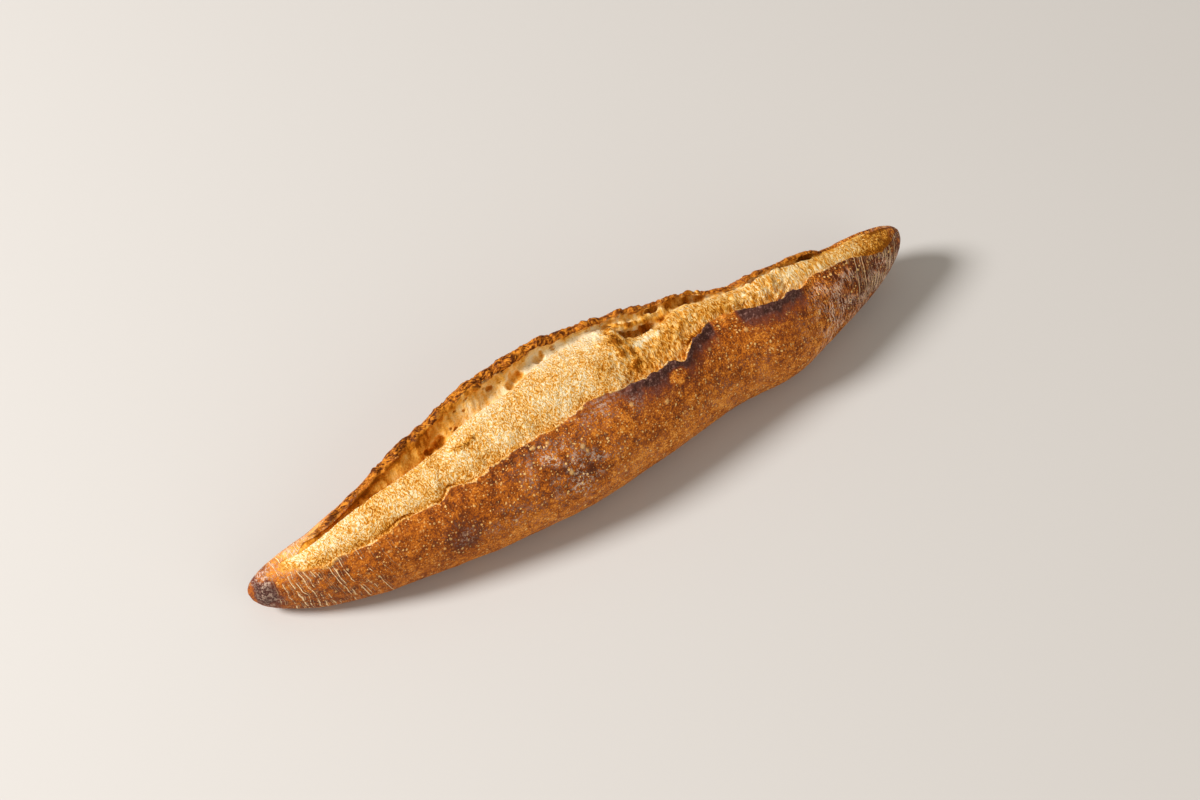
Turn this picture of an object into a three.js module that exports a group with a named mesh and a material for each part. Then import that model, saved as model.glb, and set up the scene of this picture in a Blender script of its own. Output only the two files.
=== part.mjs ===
import * as THREE from "three";

// A baguette: one loaf lying along X on its flat underside, +Z up.
// The near flank faces -Y. Two slashes, end to end, open the top and raise an ear of crust on the far side.
// Lengths are in millimetres. A station runs from 0 at the left tip to 1 at the right tip.
// A share is a distance across the loaf from its middle line, in half widths, positive to the far side.

// Overall size
const LENGTH = 400;
const HALF_WIDTH = 40;
const CROWN_HEIGHT = 57;
const LEFT_TIP_HEIGHT = 17;
const RIGHT_TIP_HEIGHT = 29;

// Where the loaf is fattest along its length, and how it narrows from there to each tip
const FATTEST_STATION = 0.43;
const WIDTH_TAPER = { left: { loss: 0.72, bend: 1.5, nose: 12 }, right: { loss: 0.68, bend: 1.4, nose: 18 } };
const CROWN_TAPER = { left: { loss: 0.62, bend: 1.6, nose: 12 }, right: { loss: 0.62, bend: 2.0, nose: 18 } };
const BASE_TAPER = { left: { loss: 0.12, bend: 9, nose: 16 }, right: { loss: 0.4, bend: 5, nose: 16 } };
const SECOND_SLASH_BULGE = { size: 1.6, start: 0.68, end: 0.88, power: 2 };

// Shape of a plain section
const FLANK_HEIGHT = 0.42;
const CROWN_ROUNDNESS = 2.4;
const BASE_SHARE = 0.55;
const BASE_FLATTENING = 0.3;
const LOWER_FLANK = { share: 0.87, height: 0.14 };
const SHOULDER_SHARE = 0.92;

// The middle line bows toward the near side: station, offset
const MIDDLE_LINE = [
  [0, -1.5], [0.1, -7.5], [0.2, -10], [0.42, -9.5], [0.55, -8], [0.66, -6], [0.77, -9], [0.87, -4.5], [1, 2],
];

// The near edge of the opening: station, share
const NEAR_LIP = [
  [0, -0.3], [0.04, -0.36], [0.06, -0.5], [0.09, -0.62], [0.105, -0.54], [0.13, -0.56], [0.17, -0.54],
  [0.196, -0.44], [0.22, -0.45], [0.25, -0.46], [0.263, -0.36], [0.295, -0.42], [0.34, -0.345],
  [0.4, -0.315], [0.445, -0.3], [0.47, -0.25], [0.505, -0.28], [0.53, -0.33], [0.555, -0.36], [0.59, -0.36],
  [0.612, -0.42], [0.63, -0.26], [0.65, -0.2], [0.667, -0.08], [0.715, -0.06], [0.745, -0.2], [0.77, -0.22],
  [0.79, -0.17], [0.81, -0.22], [0.828, -0.12], [0.86, -0.19], [0.9, -0.3], [0.94, -0.62], [0.97, -0.62],
  [1, -0.3],
];

// The far edge of the burst crumb: station, share
const CRUMB_EDGE = [
  [0, 0], [0.06, -0.07], [0.08, -0.06], [0.12, 0.07], [0.17, 0.16], [0.24, 0.21], [0.28, 0.26],
  [0.31, 0.34], [0.35, 0.38], [0.39, 0.4], [0.44, 0.53], [0.5, 0.59], [0.55, 0.57], [0.567, 0.36],
  [0.61, 0.3], [0.65, 0.4], [0.74, 0.38], [0.8, 0.4], [0.86, 0.28], [1, 0.1],
];

// How far that edge lies above the plain crown: station, lift
const CRUMB_EDGE_LIFT = [
  [0, 0], [0.08, 1.5], [0.12, 3.2], [0.17, 4], [0.24, 4.2], [0.28, 4.2], [0.31, 6], [0.35, 6], [0.39, 5],
  [0.44, 6], [0.5, 6.6], [0.55, 6], [0.567, 0], [0.61, 0], [0.65, 1.2], [0.73, 0.6], [0.77, 4.5], [0.82, 2],
  [0.87, 0.3], [1, 0],
];

// The groove between the burst crumb and the ear, below and behind that edge: station, depth or gap
const GROOVE_DEPTH = [
  [0, 0], [0.07, 2], [0.12, 6.5], [0.3, 8], [0.38, 6], [0.44, 2.5], [0.54, 1.5], [0.57, 4], [0.61, 4],
  [0.65, 1.5], [0.74, 1], [0.8, 2], [0.87, 1.5], [0.93, 0], [1, 0],
];
const GROOVE_GAP = [[0, 3], [0.62, 3], [0.7, 1], [1, 1]];

// The ear's edge: station, share
const EAR_LINE = [
  [0, 0.3], [0.09, 0.29], [0.14, 0.45], [0.22, 0.66], [0.3, 0.77], [0.4, 0.82], [0.5, 0.8], [0.62, 0.66],
  [0.74, 0.48], [0.8, 0.52], [0.87, 0.45], [1, 0.3],
];

// The opening, the ear raised by each slash, the notch where the second ear ends, and the ear's ragged edge
const OPENING = { start: 0.04, end: 0.975, rise: 0.07, fall: 0.12 };
const FIRST_EAR = { size: 7, start: 0.08, end: 0.72, power: 1.1 };
const SECOND_EAR = { size: 3.2, start: 0.71, end: 0.88, power: 0.8 };
const EAR_NOTCH = { size: -3.2, start: 0.85, end: 0.925, power: 1 };
const RAGGED_REACH = { start: 0.1, end: 0.85, rise: 0.05, fall: 0.05 };
const RAGGED_WAVES = [
  { size: 0.7, cycles: 9.3, phase: 0.6 },
  { size: 0.6, cycles: 17, phase: 2.1 },
  { size: 0.4, cycles: 27, phase: 0 },
];
const EAR_RIM = 1.8;
const EAR_RIM_EXTRA = 2.4;
const THICK_RIM_REACH = { start: 0.08, end: 0.5, rise: 0.06, fall: 0.1 };

// The near lip is curled up along one stretch of each slash, and the crumb dips behind it
const CURLS = [
  { start: 0.515, end: 0.672, rise: 0.03, fall: 0.03 },
  { start: 0.7, end: 0.83, rise: 0.03, fall: 0.04 },
];
const LIP_RISE = 0.6;
const LIP_CURL = 2.6;
const CRUMB_DIP = 1.2;
const CRUMB_DIP_EXTRA = 2.8;

// The burst crumb stands proud, rises with its far edge, and steps down at a fold across the first slash
const CRUMB_RISE = 0.6;
const CRUMB_PROUD = 2.6;
const EDGE_PULL = 0.3;
const FOLD = { start: 0.525, end: 0.57, recoverStart: 0.6, recoverEnd: 0.7, recoverShare: 0.6 };
const LEDGE = { size: 4.5, start: 0.548, end: 0.64, rise: 0.015, fall: 0.03 };

// Gas cells torn open in the ear's inner face
const HOLLOWS = [
  { at: 0.283, half: 0.014, depth: 3 },
  { at: 0.372, half: 0.016, depth: 2.6 },
  { at: 0.417, half: 0.012, depth: 2.4 },
  { at: 0.449, half: 0.012, depth: 2.4 },
  { at: 0.615, half: 0.012, depth: 2.4 },
  { at: 0.672, half: 0.022, depth: 2.6 },
  { at: 0.845, half: 0.02, depth: 1.8 },
];

// Fineness of the surface: rings along the loaf, and steps from each control point of a section to the next
const RINGS = 120;
const END_CROWDING = 0.55;
const STEPS = [2, 3, 3, 2, 2, 1, 2, 3, 3, 2, 2, 2, 2, 2, 2, 2, 3, 2, 2, 1, 1, 2, 2];

const CRUST_COLOUR = 0xb8712f;
const CRUST_ROUGHNESS = 0.7;

const { lerp, smoothstep } = THREE.MathUtils;

// 1 between start and end, falling smoothly to 0 at both
function plateau(u, reach) {
  const up = smoothstep(u, reach.start, reach.start + reach.rise);
  const down = smoothstep(u, reach.end - reach.fall, reach.end);
  return up * (1 - down);
}

// A hump of the given size from start to end
function arch(u, hump) {
  const t = THREE.MathUtils.clamp((u - hump.start) / (hump.end - hump.start), 0, 1);
  return hump.size * Math.sin(Math.PI * t) ** hump.power;
}

// A smooth curve through pairs of station and value
function along(pairs, u) {
  const last = pairs.length - 1;
  const slope = (k) => {
    if (k === 0 || k === last) {
      return 0;
    }
    return (pairs[k + 1][1] - pairs[k - 1][1]) / (pairs[k + 1][0] - pairs[k - 1][0]);
  };
  let k = 0;
  while (k < last - 1 && pairs[k + 1][0] <= u) {
    k += 1;
  }
  const span = pairs[k + 1][0] - pairs[k][0];
  const t = (u - pairs[k][0]) / span;
  const ease = t * t * (3 - 2 * t);
  const leave = t * (1 - t) * (1 - t) * span * slope(k);
  const arrive = t * t * (1 - t) * span * slope(k + 1);
  return lerp(pairs[k][1], pairs[k + 1][1], ease) + leave - arrive;
}

// 1 where the loaf is fattest, 0 at the tips: the flank narrows with a bend and closes with a blunt nose
function taper(u, ends) {
  const leftSide = u < FATTEST_STATION;
  const end = leftSide ? ends.left : ends.right;
  const reach = leftSide ? FATTEST_STATION : 1 - FATTEST_STATION;
  const s = Math.abs(u - FATTEST_STATION) / reach;
  return (1 - end.loss * s ** end.bend) * Math.sqrt(Math.max(1 - s ** end.nose, 0));
}

function tipHeight(u) {
  return u < FATTEST_STATION ? LEFT_TIP_HEIGHT : RIGHT_TIP_HEIGHT;
}

function halfWidth(u) {
  return HALF_WIDTH * taper(u, WIDTH_TAPER) + arch(u, SECOND_SLASH_BULGE);
}

function crownHeight(u) {
  return lerp(tipHeight(u), CROWN_HEIGHT, taper(u, CROWN_TAPER));
}

function baseHeight(u) {
  return Math.max(tipHeight(u) * (1 - taper(u, BASE_TAPER)) - BASE_FLATTENING, 0);
}

function raggedEdge(u) {
  let sum = 0;
  for (const wave of RAGGED_WAVES) {
    sum += wave.size * Math.sin(2 * Math.PI * wave.cycles * u + wave.phase);
  }
  return sum * plateau(u, RAGGED_REACH);
}

function hollowDepth(u) {
  let sum = 0;
  for (const hollow of HOLLOWS) {
    sum += hollow.depth * Math.exp(-(((u - hollow.at) / hollow.half) ** 2));
  }
  return sum;
}

// Control points of one section, from the near flank over the top to the far flank and back under the base
function sectionControls(u) {
  const middle = along(MIDDLE_LINE, u);
  const width = halfWidth(u);
  const crown = crownHeight(u);
  const base = baseHeight(u);
  const flank = lerp(base, crown, FLANK_HEIGHT);
  const lower = lerp(base, crown, LOWER_FLANK.height);
  const size = width / HALF_WIDTH;
  const open = plateau(u, OPENING);
  const spread = open * size;
  const lipShare = along(NEAR_LIP, u);
  const edgeShare = along(CRUMB_EDGE, u);

  const point = (y, z) => new THREE.Vector3((u - 0.5) * LENGTH, y, z);
  const onCrown = (share, lift) => {
    const round = Math.sqrt(Math.max(1 - Math.abs(share) ** CROWN_ROUNDNESS, 0));
    return point(middle + width * share, lerp(flank, crown, round) + lift);
  };
  const between = (a, b, t, shiftY, shiftZ) => point(lerp(a.y, b.y, t) + shiftY, lerp(a.z, b.z, t) + shiftZ);
  const acrossCrumb = (t) => lerp(lipShare, edgeShare, t);

  const curl = plateau(u, CURLS[0]) + plateau(u, CURLS[1]);
  const lip = (LIP_RISE + LIP_CURL * curl) * open;
  const dip = (CRUMB_DIP + CRUMB_DIP_EXTRA * curl) * spread;
  const recovered = FOLD.recoverShare * smoothstep(u, FOLD.recoverStart, FOLD.recoverEnd);
  const proud = 1 - smoothstep(u, FOLD.start, FOLD.end) * (1 - recovered);
  const crumb = (CRUMB_RISE + CRUMB_PROUD * proud) * spread;
  const rim = (EAR_RIM + EAR_RIM_EXTRA * plateau(u, THICK_RIM_REACH)) * lerp(0.4, 1, open);
  const ledge = LEDGE.size * plateau(u, LEDGE);
  const hollow = hollowDepth(u);

  const closedEar = onCrown(along(EAR_LINE, u), 0);
  const rise = arch(u, FIRST_EAR) + arch(u, SECOND_EAR) + arch(u, EAR_NOTCH) + raggedEdge(u);
  const ear = point(closedEar.y, lerp(closedEar.z, crown + rise, open));
  const earInside = point(ear.y - 0.9 * rim, ear.z - 0.6 * open);
  const edgeLift = along(CRUMB_EDGE_LIFT, u) * open;
  const crumbEdge = onCrown(edgeShare, edgeLift);
  const groove = point(crumbEdge.y + along(GROOVE_GAP, u) * size, crumbEdge.z - along(GROOVE_DEPTH, u) * open);
  const farFlank = point(middle + width, flank);

  return [
    point(middle - width, flank),
    onCrown(-SHOULDER_SHARE, 0),
    onCrown(lerp(-SHOULDER_SHARE, lipShare, 0.5) - 0.01, 0),
    onCrown(lipShare - 0.1, 0.3 * lip),
    onCrown(lipShare - 0.03, lip),
    onCrown(lipShare + 0.015, 0.5 * lip),
    onCrown(lipShare + 0.035, -dip),
    onCrown(acrossCrumb(0.3), crumb - 0.8 * dip),
    onCrown(acrossCrumb(0.6), crumb + EDGE_PULL * edgeLift),
    crumbEdge,
    groove,
    between(groove, earInside, 0.36, (0.8 + hollow) * spread, (ledge - 0.8 - 0.5 * hollow) * spread),
    between(groove, earInside, 0.72, (1 + 0.8 * hollow) * spread, -0.5 * spread),
    earInside,
    ear,
    point(ear.y + 2.2 * size, ear.z - 2.6 * size),
    between(ear, farFlank, 0.48, 2.6 * size, 2 * size * (1 - open)),
    farFlank,
    point(middle + LOWER_FLANK.share * width, lower),
    point(middle + BASE_SHARE * width, base),
    point(middle, base),
    point(middle - BASE_SHARE * width, base),
    point(middle - LOWER_FLANK.share * width, lower),
  ];
}

// One ring of surface points: a closed smooth curve through the section's control points, never below its base
function sectionRing(u) {
  const controls = sectionControls(u);
  const outline = new THREE.CatmullRomCurve3(controls, true, "centripetal");
  const lowest = baseHeight(u);
  const ring = [];
  STEPS.forEach((steps, k) => {
    for (let step = 0; step < steps; step += 1) {
      const p = outline.getPoint((k + step / steps) / controls.length);
      p.z = Math.max(p.z, lowest);
      ring.push(p);
    }
  });
  return ring;
}

// Stations of the rings, closer together toward the tips
function ringStations() {
  const stations = [];
  for (let k = 1; k <= RINGS; k += 1) {
    const t = k / (RINGS + 1);
    stations.push(lerp(t, (1 - Math.cos(Math.PI * t)) / 2, END_CROWDING));
  }
  return stations;
}

// The closed skin: rings joined along the loaf, with a point at each tip
function loafGeometry() {
  const points = [];
  for (const u of ringStations()) {
    points.push(...sectionRing(u));
  }
  const around = points.length / RINGS;
  const leftTip = points.length;
  points.push(new THREE.Vector3(-LENGTH / 2, along(MIDDLE_LINE, 0), LEFT_TIP_HEIGHT));
  const rightTip = points.length;
  points.push(new THREE.Vector3(LENGTH / 2, along(MIDDLE_LINE, 1), RIGHT_TIP_HEIGHT));

  const faces = [];
  for (let j = 0; j < around; j += 1) {
    const next = (j + 1) % around;
    const lastRing = (RINGS - 1) * around;
    faces.push(leftTip, j, next);
    faces.push(lastRing + j, rightTip, lastRing + next);
    for (let i = 0; i < RINGS - 1; i += 1) {
      const here = i * around;
      const beyond = here + around;
      faces.push(here + j, beyond + j, here + next);
      faces.push(here + next, beyond + j, beyond + next);
    }
  }
  const geometry = new THREE.BufferGeometry().setFromPoints(points);
  geometry.setIndex(faces);
  geometry.computeBoundingBox();
  const centre = geometry.boundingBox.getCenter(new THREE.Vector3());
  geometry.translate(-centre.x, -centre.y, -geometry.boundingBox.min.z);
  geometry.computeVertexNormals();
  return geometry;
}

const crust = new THREE.MeshStandardMaterial({ color: CRUST_COLOUR, roughness: CRUST_ROUGHNESS, metalness: 0 });
const loaf = new THREE.Mesh(loafGeometry(), crust);
loaf.name = "loaf";

const baguette = new THREE.Group();
baguette.name = "baguette";
baguette.add(loaf);

export default baguette;
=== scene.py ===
import bpy
import numpy as np
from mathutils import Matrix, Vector


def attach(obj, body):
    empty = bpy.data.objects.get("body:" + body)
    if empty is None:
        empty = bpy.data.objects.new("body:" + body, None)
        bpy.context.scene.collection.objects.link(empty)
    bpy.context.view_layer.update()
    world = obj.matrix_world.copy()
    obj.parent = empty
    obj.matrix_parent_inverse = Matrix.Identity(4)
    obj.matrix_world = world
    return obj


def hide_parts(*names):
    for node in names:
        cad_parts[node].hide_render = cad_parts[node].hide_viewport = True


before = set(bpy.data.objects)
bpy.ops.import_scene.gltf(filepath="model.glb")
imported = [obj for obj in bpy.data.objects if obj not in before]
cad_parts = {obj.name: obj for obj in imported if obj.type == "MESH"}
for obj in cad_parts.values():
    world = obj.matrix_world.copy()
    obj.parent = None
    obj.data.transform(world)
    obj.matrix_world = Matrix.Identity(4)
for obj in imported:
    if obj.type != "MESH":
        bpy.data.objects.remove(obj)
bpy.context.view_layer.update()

# The loaf: one piece of lean dough rolled to a long spindle, slashed twice end to end along the top, and
# baked on a flat hearth. The slashes burst open and lift an ear of crust on the far side. Sizes are in
# millimetres; a station runs from 0 at the left tip to 1 at the right tip, and a share is in half widths.
LENGTH = 400.0
HALF_WIDTH = 40.0
CROWN_HEIGHT = 57.0
LEFT_TIP_HEIGHT = 17.0
RIGHT_TIP_HEIGHT = 29.0
FATTEST_STATION = 0.43
FLANK_HEIGHT = 0.42
LOWER_FLANK_HEIGHT = 0.14
LOWER_FLANK_SHARE = 0.87
SHOULDER_SHARE = 0.92
CROWN_ROUNDNESS = 2.4
BASE_SHARE = 0.55
BASE_FLATTENING = 0.3

# Tapers: the loss, the bend and the bluntness of the left end, then of the right end.
WIDTH_TAPER = ((0.72, 1.5, 12), (0.68, 1.4, 18))
CROWN_TAPER = ((0.62, 1.6, 12), (0.62, 2.0, 18))
BASE_TAPER = ((0.12, 9, 16), (0.4, 5, 16))

# Humps: their size, the stations where they start and end, and their sharpness.
SECOND_SLASH_BULGE = (1.6, 0.68, 0.88, 2)
FIRST_EAR = (7.0, 0.08, 0.72, 1.1)
SECOND_EAR = (3.2, 0.71, 0.88, 0.8)
EAR_NOTCH = (-3.2, 0.85, 0.925, 1)

# Reaches: the stations where they start and end, and the stretches over which they rise and fall.
OPENING = (0.04, 0.975, 0.07, 0.12)
LIP_CURLS = ((0.515, 0.672, 0.03, 0.03), (0.7, 0.83, 0.03, 0.04))
THICK_RIM_REACH = (0.08, 0.5, 0.06, 0.1)
RAGGED_REACH = (0.1, 0.85, 0.05, 0.05)
LEDGE_REACH = (0.548, 0.64, 0.015, 0.03)

# Heights and depths of the lips, the crumb, its step at the fold, the ear's rim and the pocket's ledge.
LIP_RISE = 0.6
LIP_CURL = 2.6
CRUMB_DIP = 1.2
CRUMB_DIP_EXTRA = 2.8
CRUMB_RISE = 0.6
CRUMB_PROUD = 2.6
FOLD_STEP = (0.525, 0.57)
FOLD_RECOVERY = (0.6, 0.7)
FOLD_RECOVERED = 0.6
FOLD_LEAN = (0.014, 0.004)
EAR_RIM = 1.8
EAR_RIM_EXTRA = 2.4
CLOSED_RIM = 0.4
LEDGE_HEIGHT = 4.5

# Ragged edges in layers: the height, the length of the notches and the seed. Waves: height, count and phase.
LIP_LOBES = ((0.02, 5, 2), (0.012, 2, 1))
LIP_JAGS = ((0.028, 5, 3), (0.016, 2, 4))
JAGS_FROM = (0.48, 0.52)
CRUMB_EDGE_JAGS = ((0.012, 6, 5),)
CURL_JAGS = ((0.9, 5, 6),)
RIM_JAGS = ((0.25, 7, 7),)
CREST_JAGS = ((0.55, 3.5, 8), (0.35, 1.7, 9))
EAR_SWAY = ((0.5, 4, 10),)
CREST_WAVES = ((0.7, 9.3, 0.6), (0.6, 17, 2.1), (0.4, 27, 0))

# Lines along the loaf: pairs of station and value. Hollows in the ear: station, half length and depth.
MIDDLE_LINE = [(0, -1.5), (0.1, -7.5), (0.2, -10), (0.42, -9.5), (0.55, -8), (0.66, -6), (0.77, -9),
               (0.87, -4.5), (1, 2)]
NEAR_LIP = [(0, -0.3), (0.04, -0.36), (0.06, -0.5), (0.09, -0.62), (0.105, -0.54), (0.13, -0.56),
            (0.17, -0.54), (0.196, -0.44), (0.22, -0.45), (0.25, -0.46), (0.263, -0.36), (0.295, -0.42),
            (0.34, -0.345), (0.4, -0.315), (0.445, -0.3), (0.47, -0.25), (0.505, -0.28), (0.53, -0.33),
            (0.555, -0.36), (0.59, -0.36), (0.612, -0.42), (0.63, -0.26), (0.65, -0.2), (0.667, -0.08),
            (0.715, -0.06), (0.745, -0.2), (0.77, -0.22), (0.79, -0.17), (0.81, -0.22), (0.828, -0.12),
            (0.86, -0.19), (0.9, -0.3), (0.94, -0.62), (0.97, -0.62), (1, -0.3)]
CRUMB_EDGE = [(0, 0), (0.06, -0.07), (0.08, -0.06), (0.12, 0.07), (0.17, 0.16), (0.24, 0.21), (0.28, 0.26),
              (0.31, 0.34), (0.35, 0.38), (0.39, 0.4), (0.44, 0.53), (0.5, 0.59), (0.55, 0.57),
              (0.567, 0.36), (0.61, 0.3), (0.65, 0.4), (0.74, 0.38), (0.8, 0.4), (0.86, 0.28), (1, 0.1)]
CRUMB_EDGE_LIFT = [(0, 0), (0.08, 1.5), (0.12, 3.2), (0.17, 4), (0.24, 4.2), (0.28, 4.2), (0.31, 6),
                   (0.35, 6), (0.39, 5), (0.44, 6), (0.5, 6.6), (0.55, 6), (0.567, 0), (0.61, 0),
                   (0.65, 1.2), (0.73, 0.6), (0.77, 4.5), (0.82, 2), (0.87, 0.3), (1, 0)]
GROOVE_DEPTH = [(0, 0), (0.062, 0.2), (0.08, 1.8), (0.12, 6.5), (0.3, 8), (0.38, 6), (0.44, 2.5), (0.54, 1.5),
                (0.57, 4), (0.61, 4), (0.65, 1.5), (0.74, 1), (0.8, 2), (0.87, 1.5), (0.93, 0), (1, 0)]
GROOVE_GAP = [(0, 3), (0.62, 3), (0.7, 1), (1, 1)]
EAR_LINE = [(0, 0.3), (0.09, 0.29), (0.14, 0.45), (0.22, 0.66), (0.3, 0.77), (0.4, 0.82), (0.5, 0.8),
            (0.62, 0.66), (0.74, 0.48), (0.8, 0.52), (0.87, 0.45), (1, 0.3)]
HOLLOWS = [(0.283, 0.014, 3.0), (0.372, 0.016, 2.6), (0.417, 0.012, 2.4), (0.449, 0.012, 2.4),
           (0.615, 0.012, 2.4), (0.672, 0.022, 2.6), (0.845, 0.020, 1.8)]

LATTICE_SIZE = 64
LATTICE_SHIFT = np.array([17.3, 5.9, 11.7])
LATTICE = np.random.default_rng(3).uniform(-1, 1, (LATTICE_SIZE, LATTICE_SIZE, LATTICE_SIZE))


def smooth(a, b, x):
    """A smooth step from 0 at a to 1 at b."""
    t = np.clip((x - a) / (b - a), 0, 1)
    return t * t * (3 - 2 * t)


def plateau(u, start, end, rise, fall):
    """1 over a reach of the loaf, 0 outside it."""
    return smooth(start, start + rise, u) * (1 - smooth(end - fall, end, u))


def arch(u, size, start, end, sharpness):
    """A hump over a reach of the loaf."""
    return size * np.sin(np.pi * np.clip((u - start) / (end - start), 0, 1)) ** sharpness


def bell(gap, reach, power=2):
    """1 where the gap is nothing, fading to 0 past the reach."""
    return np.exp(-(np.abs(gap / reach) ** power))


def mix(a, b, t):
    """From a, where t is 0, to b, where t is 1."""
    return a + (b - a) * t


def along(pairs, u):
    """A smooth curve through pairs of station and value."""
    x, y = np.array(pairs, float).T
    slope = np.zeros(len(x))
    slope[1:-1] = (y[2:] - y[:-2]) / (x[2:] - x[:-2])
    k = np.clip(np.searchsorted(x, u, side="right") - 1, 0, len(x) - 2)
    span = x[k + 1] - x[k]
    t = (u - x[k]) / span
    leave = t * (1 - t) ** 2 * span * slope[k]
    arrive = t * t * (1 - t) * span * slope[k + 1]
    return mix(y[k], y[k + 1], t * t * (3 - 2 * t)) + leave - arrive


def taper(u, left, right):
    """1 where the loaf is fattest, 0 at the tips; each end has its loss, its bend and its bluntness."""
    s = np.where(u < FATTEST_STATION, FATTEST_STATION - u, u - FATTEST_STATION)
    s = s / np.where(u < FATTEST_STATION, FATTEST_STATION, 1 - FATTEST_STATION)
    loss, bend, bluntness = (np.where(u < FATTEST_STATION, a, b) for a, b in zip(left, right))
    return (1 - loss * s**bend) * np.sqrt(np.maximum(1 - s**bluntness, 0))


def lumps(points, size, seed):
    """A smooth random field from -1 to 1 over points in millimetres, with lumps of the given size."""
    scaled = points / np.asarray(size, float) + seed * LATTICE_SHIFT
    cell = np.floor(scaled).astype(np.int32)
    ease_x, ease_y, ease_z = np.moveaxis(smooth(0, 1, scaled - cell), -1, 0)
    low = np.moveaxis(cell % LATTICE_SIZE, -1, 0)
    high = np.moveaxis((cell + 1) % LATTICE_SIZE, -1, 0)
    layers = []
    for z in (low[2], high[2]):
        rows = [mix(LATTICE[low[0], y, z], LATTICE[high[0], y, z], ease_x) for y in (low[1], high[1])]
        layers.append(mix(rows[0], rows[1], ease_y))
    return mix(layers[0], layers[1], ease_z)


def uneven(points, *layers):
    """Lumps over points in layers, each with its height, its size and its seed."""
    return sum(height * lumps(points, size, seed) for height, size, seed in layers)


def ragged(u, layers):
    """A random line along the loaf, in layers of notches."""
    return uneven(np.stack([u * LENGTH, 0 * u, 0 * u], -1), *layers)


def section_controls(u):
    """Control points of each section, from the near flank over the top and back under the base."""
    tip = np.where(u < FATTEST_STATION, LEFT_TIP_HEIGHT, RIGHT_TIP_HEIGHT)
    middle = along(MIDDLE_LINE, u)
    width = HALF_WIDTH * taper(u, *WIDTH_TAPER) + arch(u, *SECOND_SLASH_BULGE)
    crown = mix(tip, CROWN_HEIGHT, taper(u, *CROWN_TAPER))
    base = np.maximum(tip * (1 - taper(u, *BASE_TAPER)) - BASE_FLATTENING, 0)
    flank = mix(base, crown, FLANK_HEIGHT)
    lower = mix(base, crown, LOWER_FLANK_HEIGHT)
    size = width / HALF_WIDTH
    opened = plateau(u, *OPENING)
    spread = opened * size
    curl = sum(plateau(u, *reach) for reach in LIP_CURLS)
    lip_edge = mix(ragged(u, LIP_LOBES), ragged(u, LIP_JAGS), smooth(*JAGS_FROM, u))
    lip_share = along(NEAR_LIP, u) + lip_edge * opened
    edge_share = along(CRUMB_EDGE, u) + ragged(u, CRUMB_EDGE_JAGS) * opened

    def on_crown(share, lift):
        rounded = np.sqrt(np.maximum(1 - np.abs(share) ** CROWN_ROUNDNESS, 0))
        return middle + width * share, mix(flank, crown, rounded) + lift

    def between(a, b, t, shift_y, shift_z):
        return mix(a[0], b[0], t) + shift_y, mix(a[1], b[1], t) + shift_z

    def across_crumb(t):
        return mix(lip_share, edge_share, t)

    lip = (LIP_RISE + curl * (LIP_CURL + ragged(u, CURL_JAGS))) * opened
    dip = (CRUMB_DIP + CRUMB_DIP_EXTRA * curl) * spread
    kept_down = 1 - FOLD_RECOVERED * smooth(*FOLD_RECOVERY, u)
    near_crumb, mid_crumb = (
        (CRUMB_RISE + CRUMB_PROUD * (1 - smooth(*FOLD_STEP, u + lean) * kept_down)) * spread
        for lean in FOLD_LEAN)
    rim = (EAR_RIM + EAR_RIM_EXTRA * plateau(u, *THICK_RIM_REACH)) * mix(CLOSED_RIM, 1, opened)
    rim = rim * (1 + ragged(u, RIM_JAGS))
    ledge = LEDGE_HEIGHT * plateau(u, *LEDGE_REACH)
    hollow = sum(depth * bell(u - at, half) for at, half, depth in HOLLOWS)
    waves = sum(height * np.sin(2 * np.pi * count * u + phase) for height, count, phase in CREST_WAVES)
    waves = waves + ragged(u, CREST_JAGS)
    rise = arch(u, *FIRST_EAR) + arch(u, *SECOND_EAR) + arch(u, *EAR_NOTCH)
    rise = rise + waves * plateau(u, *RAGGED_REACH)
    closed_ear = on_crown(along(EAR_LINE, u), 0)
    ear = (closed_ear[0] + opened * ragged(u, EAR_SWAY), mix(closed_ear[1], crown + rise, opened))
    ear_inside = (ear[0] - 0.9 * rim, ear[1] - 0.6 * opened)
    edge_lift = along(CRUMB_EDGE_LIFT, u) * opened
    crumb_edge = on_crown(edge_share, edge_lift)
    groove = (crumb_edge[0] + along(GROOVE_GAP, u) * size, crumb_edge[1] - along(GROOVE_DEPTH, u) * opened)
    far_flank = (middle + width, flank)
    controls = [
        (middle - width, flank),
        on_crown(-SHOULDER_SHARE, 0),
        on_crown(mix(-SHOULDER_SHARE, lip_share, 0.5) - 0.01, 0),
        on_crown(lip_share - 0.1, 0.3 * lip),
        on_crown(lip_share - 0.03, lip),
        on_crown(lip_share + 0.015, 0.5 * lip),
        on_crown(lip_share + 0.035, -dip),
        on_crown(across_crumb(0.3), near_crumb - 0.8 * dip),
        on_crown(across_crumb(0.6), mid_crumb + 0.3 * edge_lift),
        crumb_edge,
        groove,
        between(groove, ear_inside, 0.36, (0.8 + hollow) * spread, (ledge - 0.8 - 0.5 * hollow) * spread),
        between(groove, ear_inside, 0.72, (1 + 0.8 * hollow) * spread, -0.5 * spread),
        ear_inside,
        ear,
        (ear[0] + 2.2 * size, ear[1] - 2.6 * size),
        between(ear, far_flank, 0.48, 2.6 * size, 2 * size * (1 - opened)),
        far_flank,
        (middle + LOWER_FLANK_SHARE * width, lower),
        (middle + BASE_SHARE * width, base),
        (middle, base),
        (middle - BASE_SHARE * width, base),
        (middle - LOWER_FLANK_SHARE * width, lower),
    ]
    return np.stack([np.stack(np.broadcast_arrays(y, z), -1) for y, z in controls], 1), base


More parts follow.
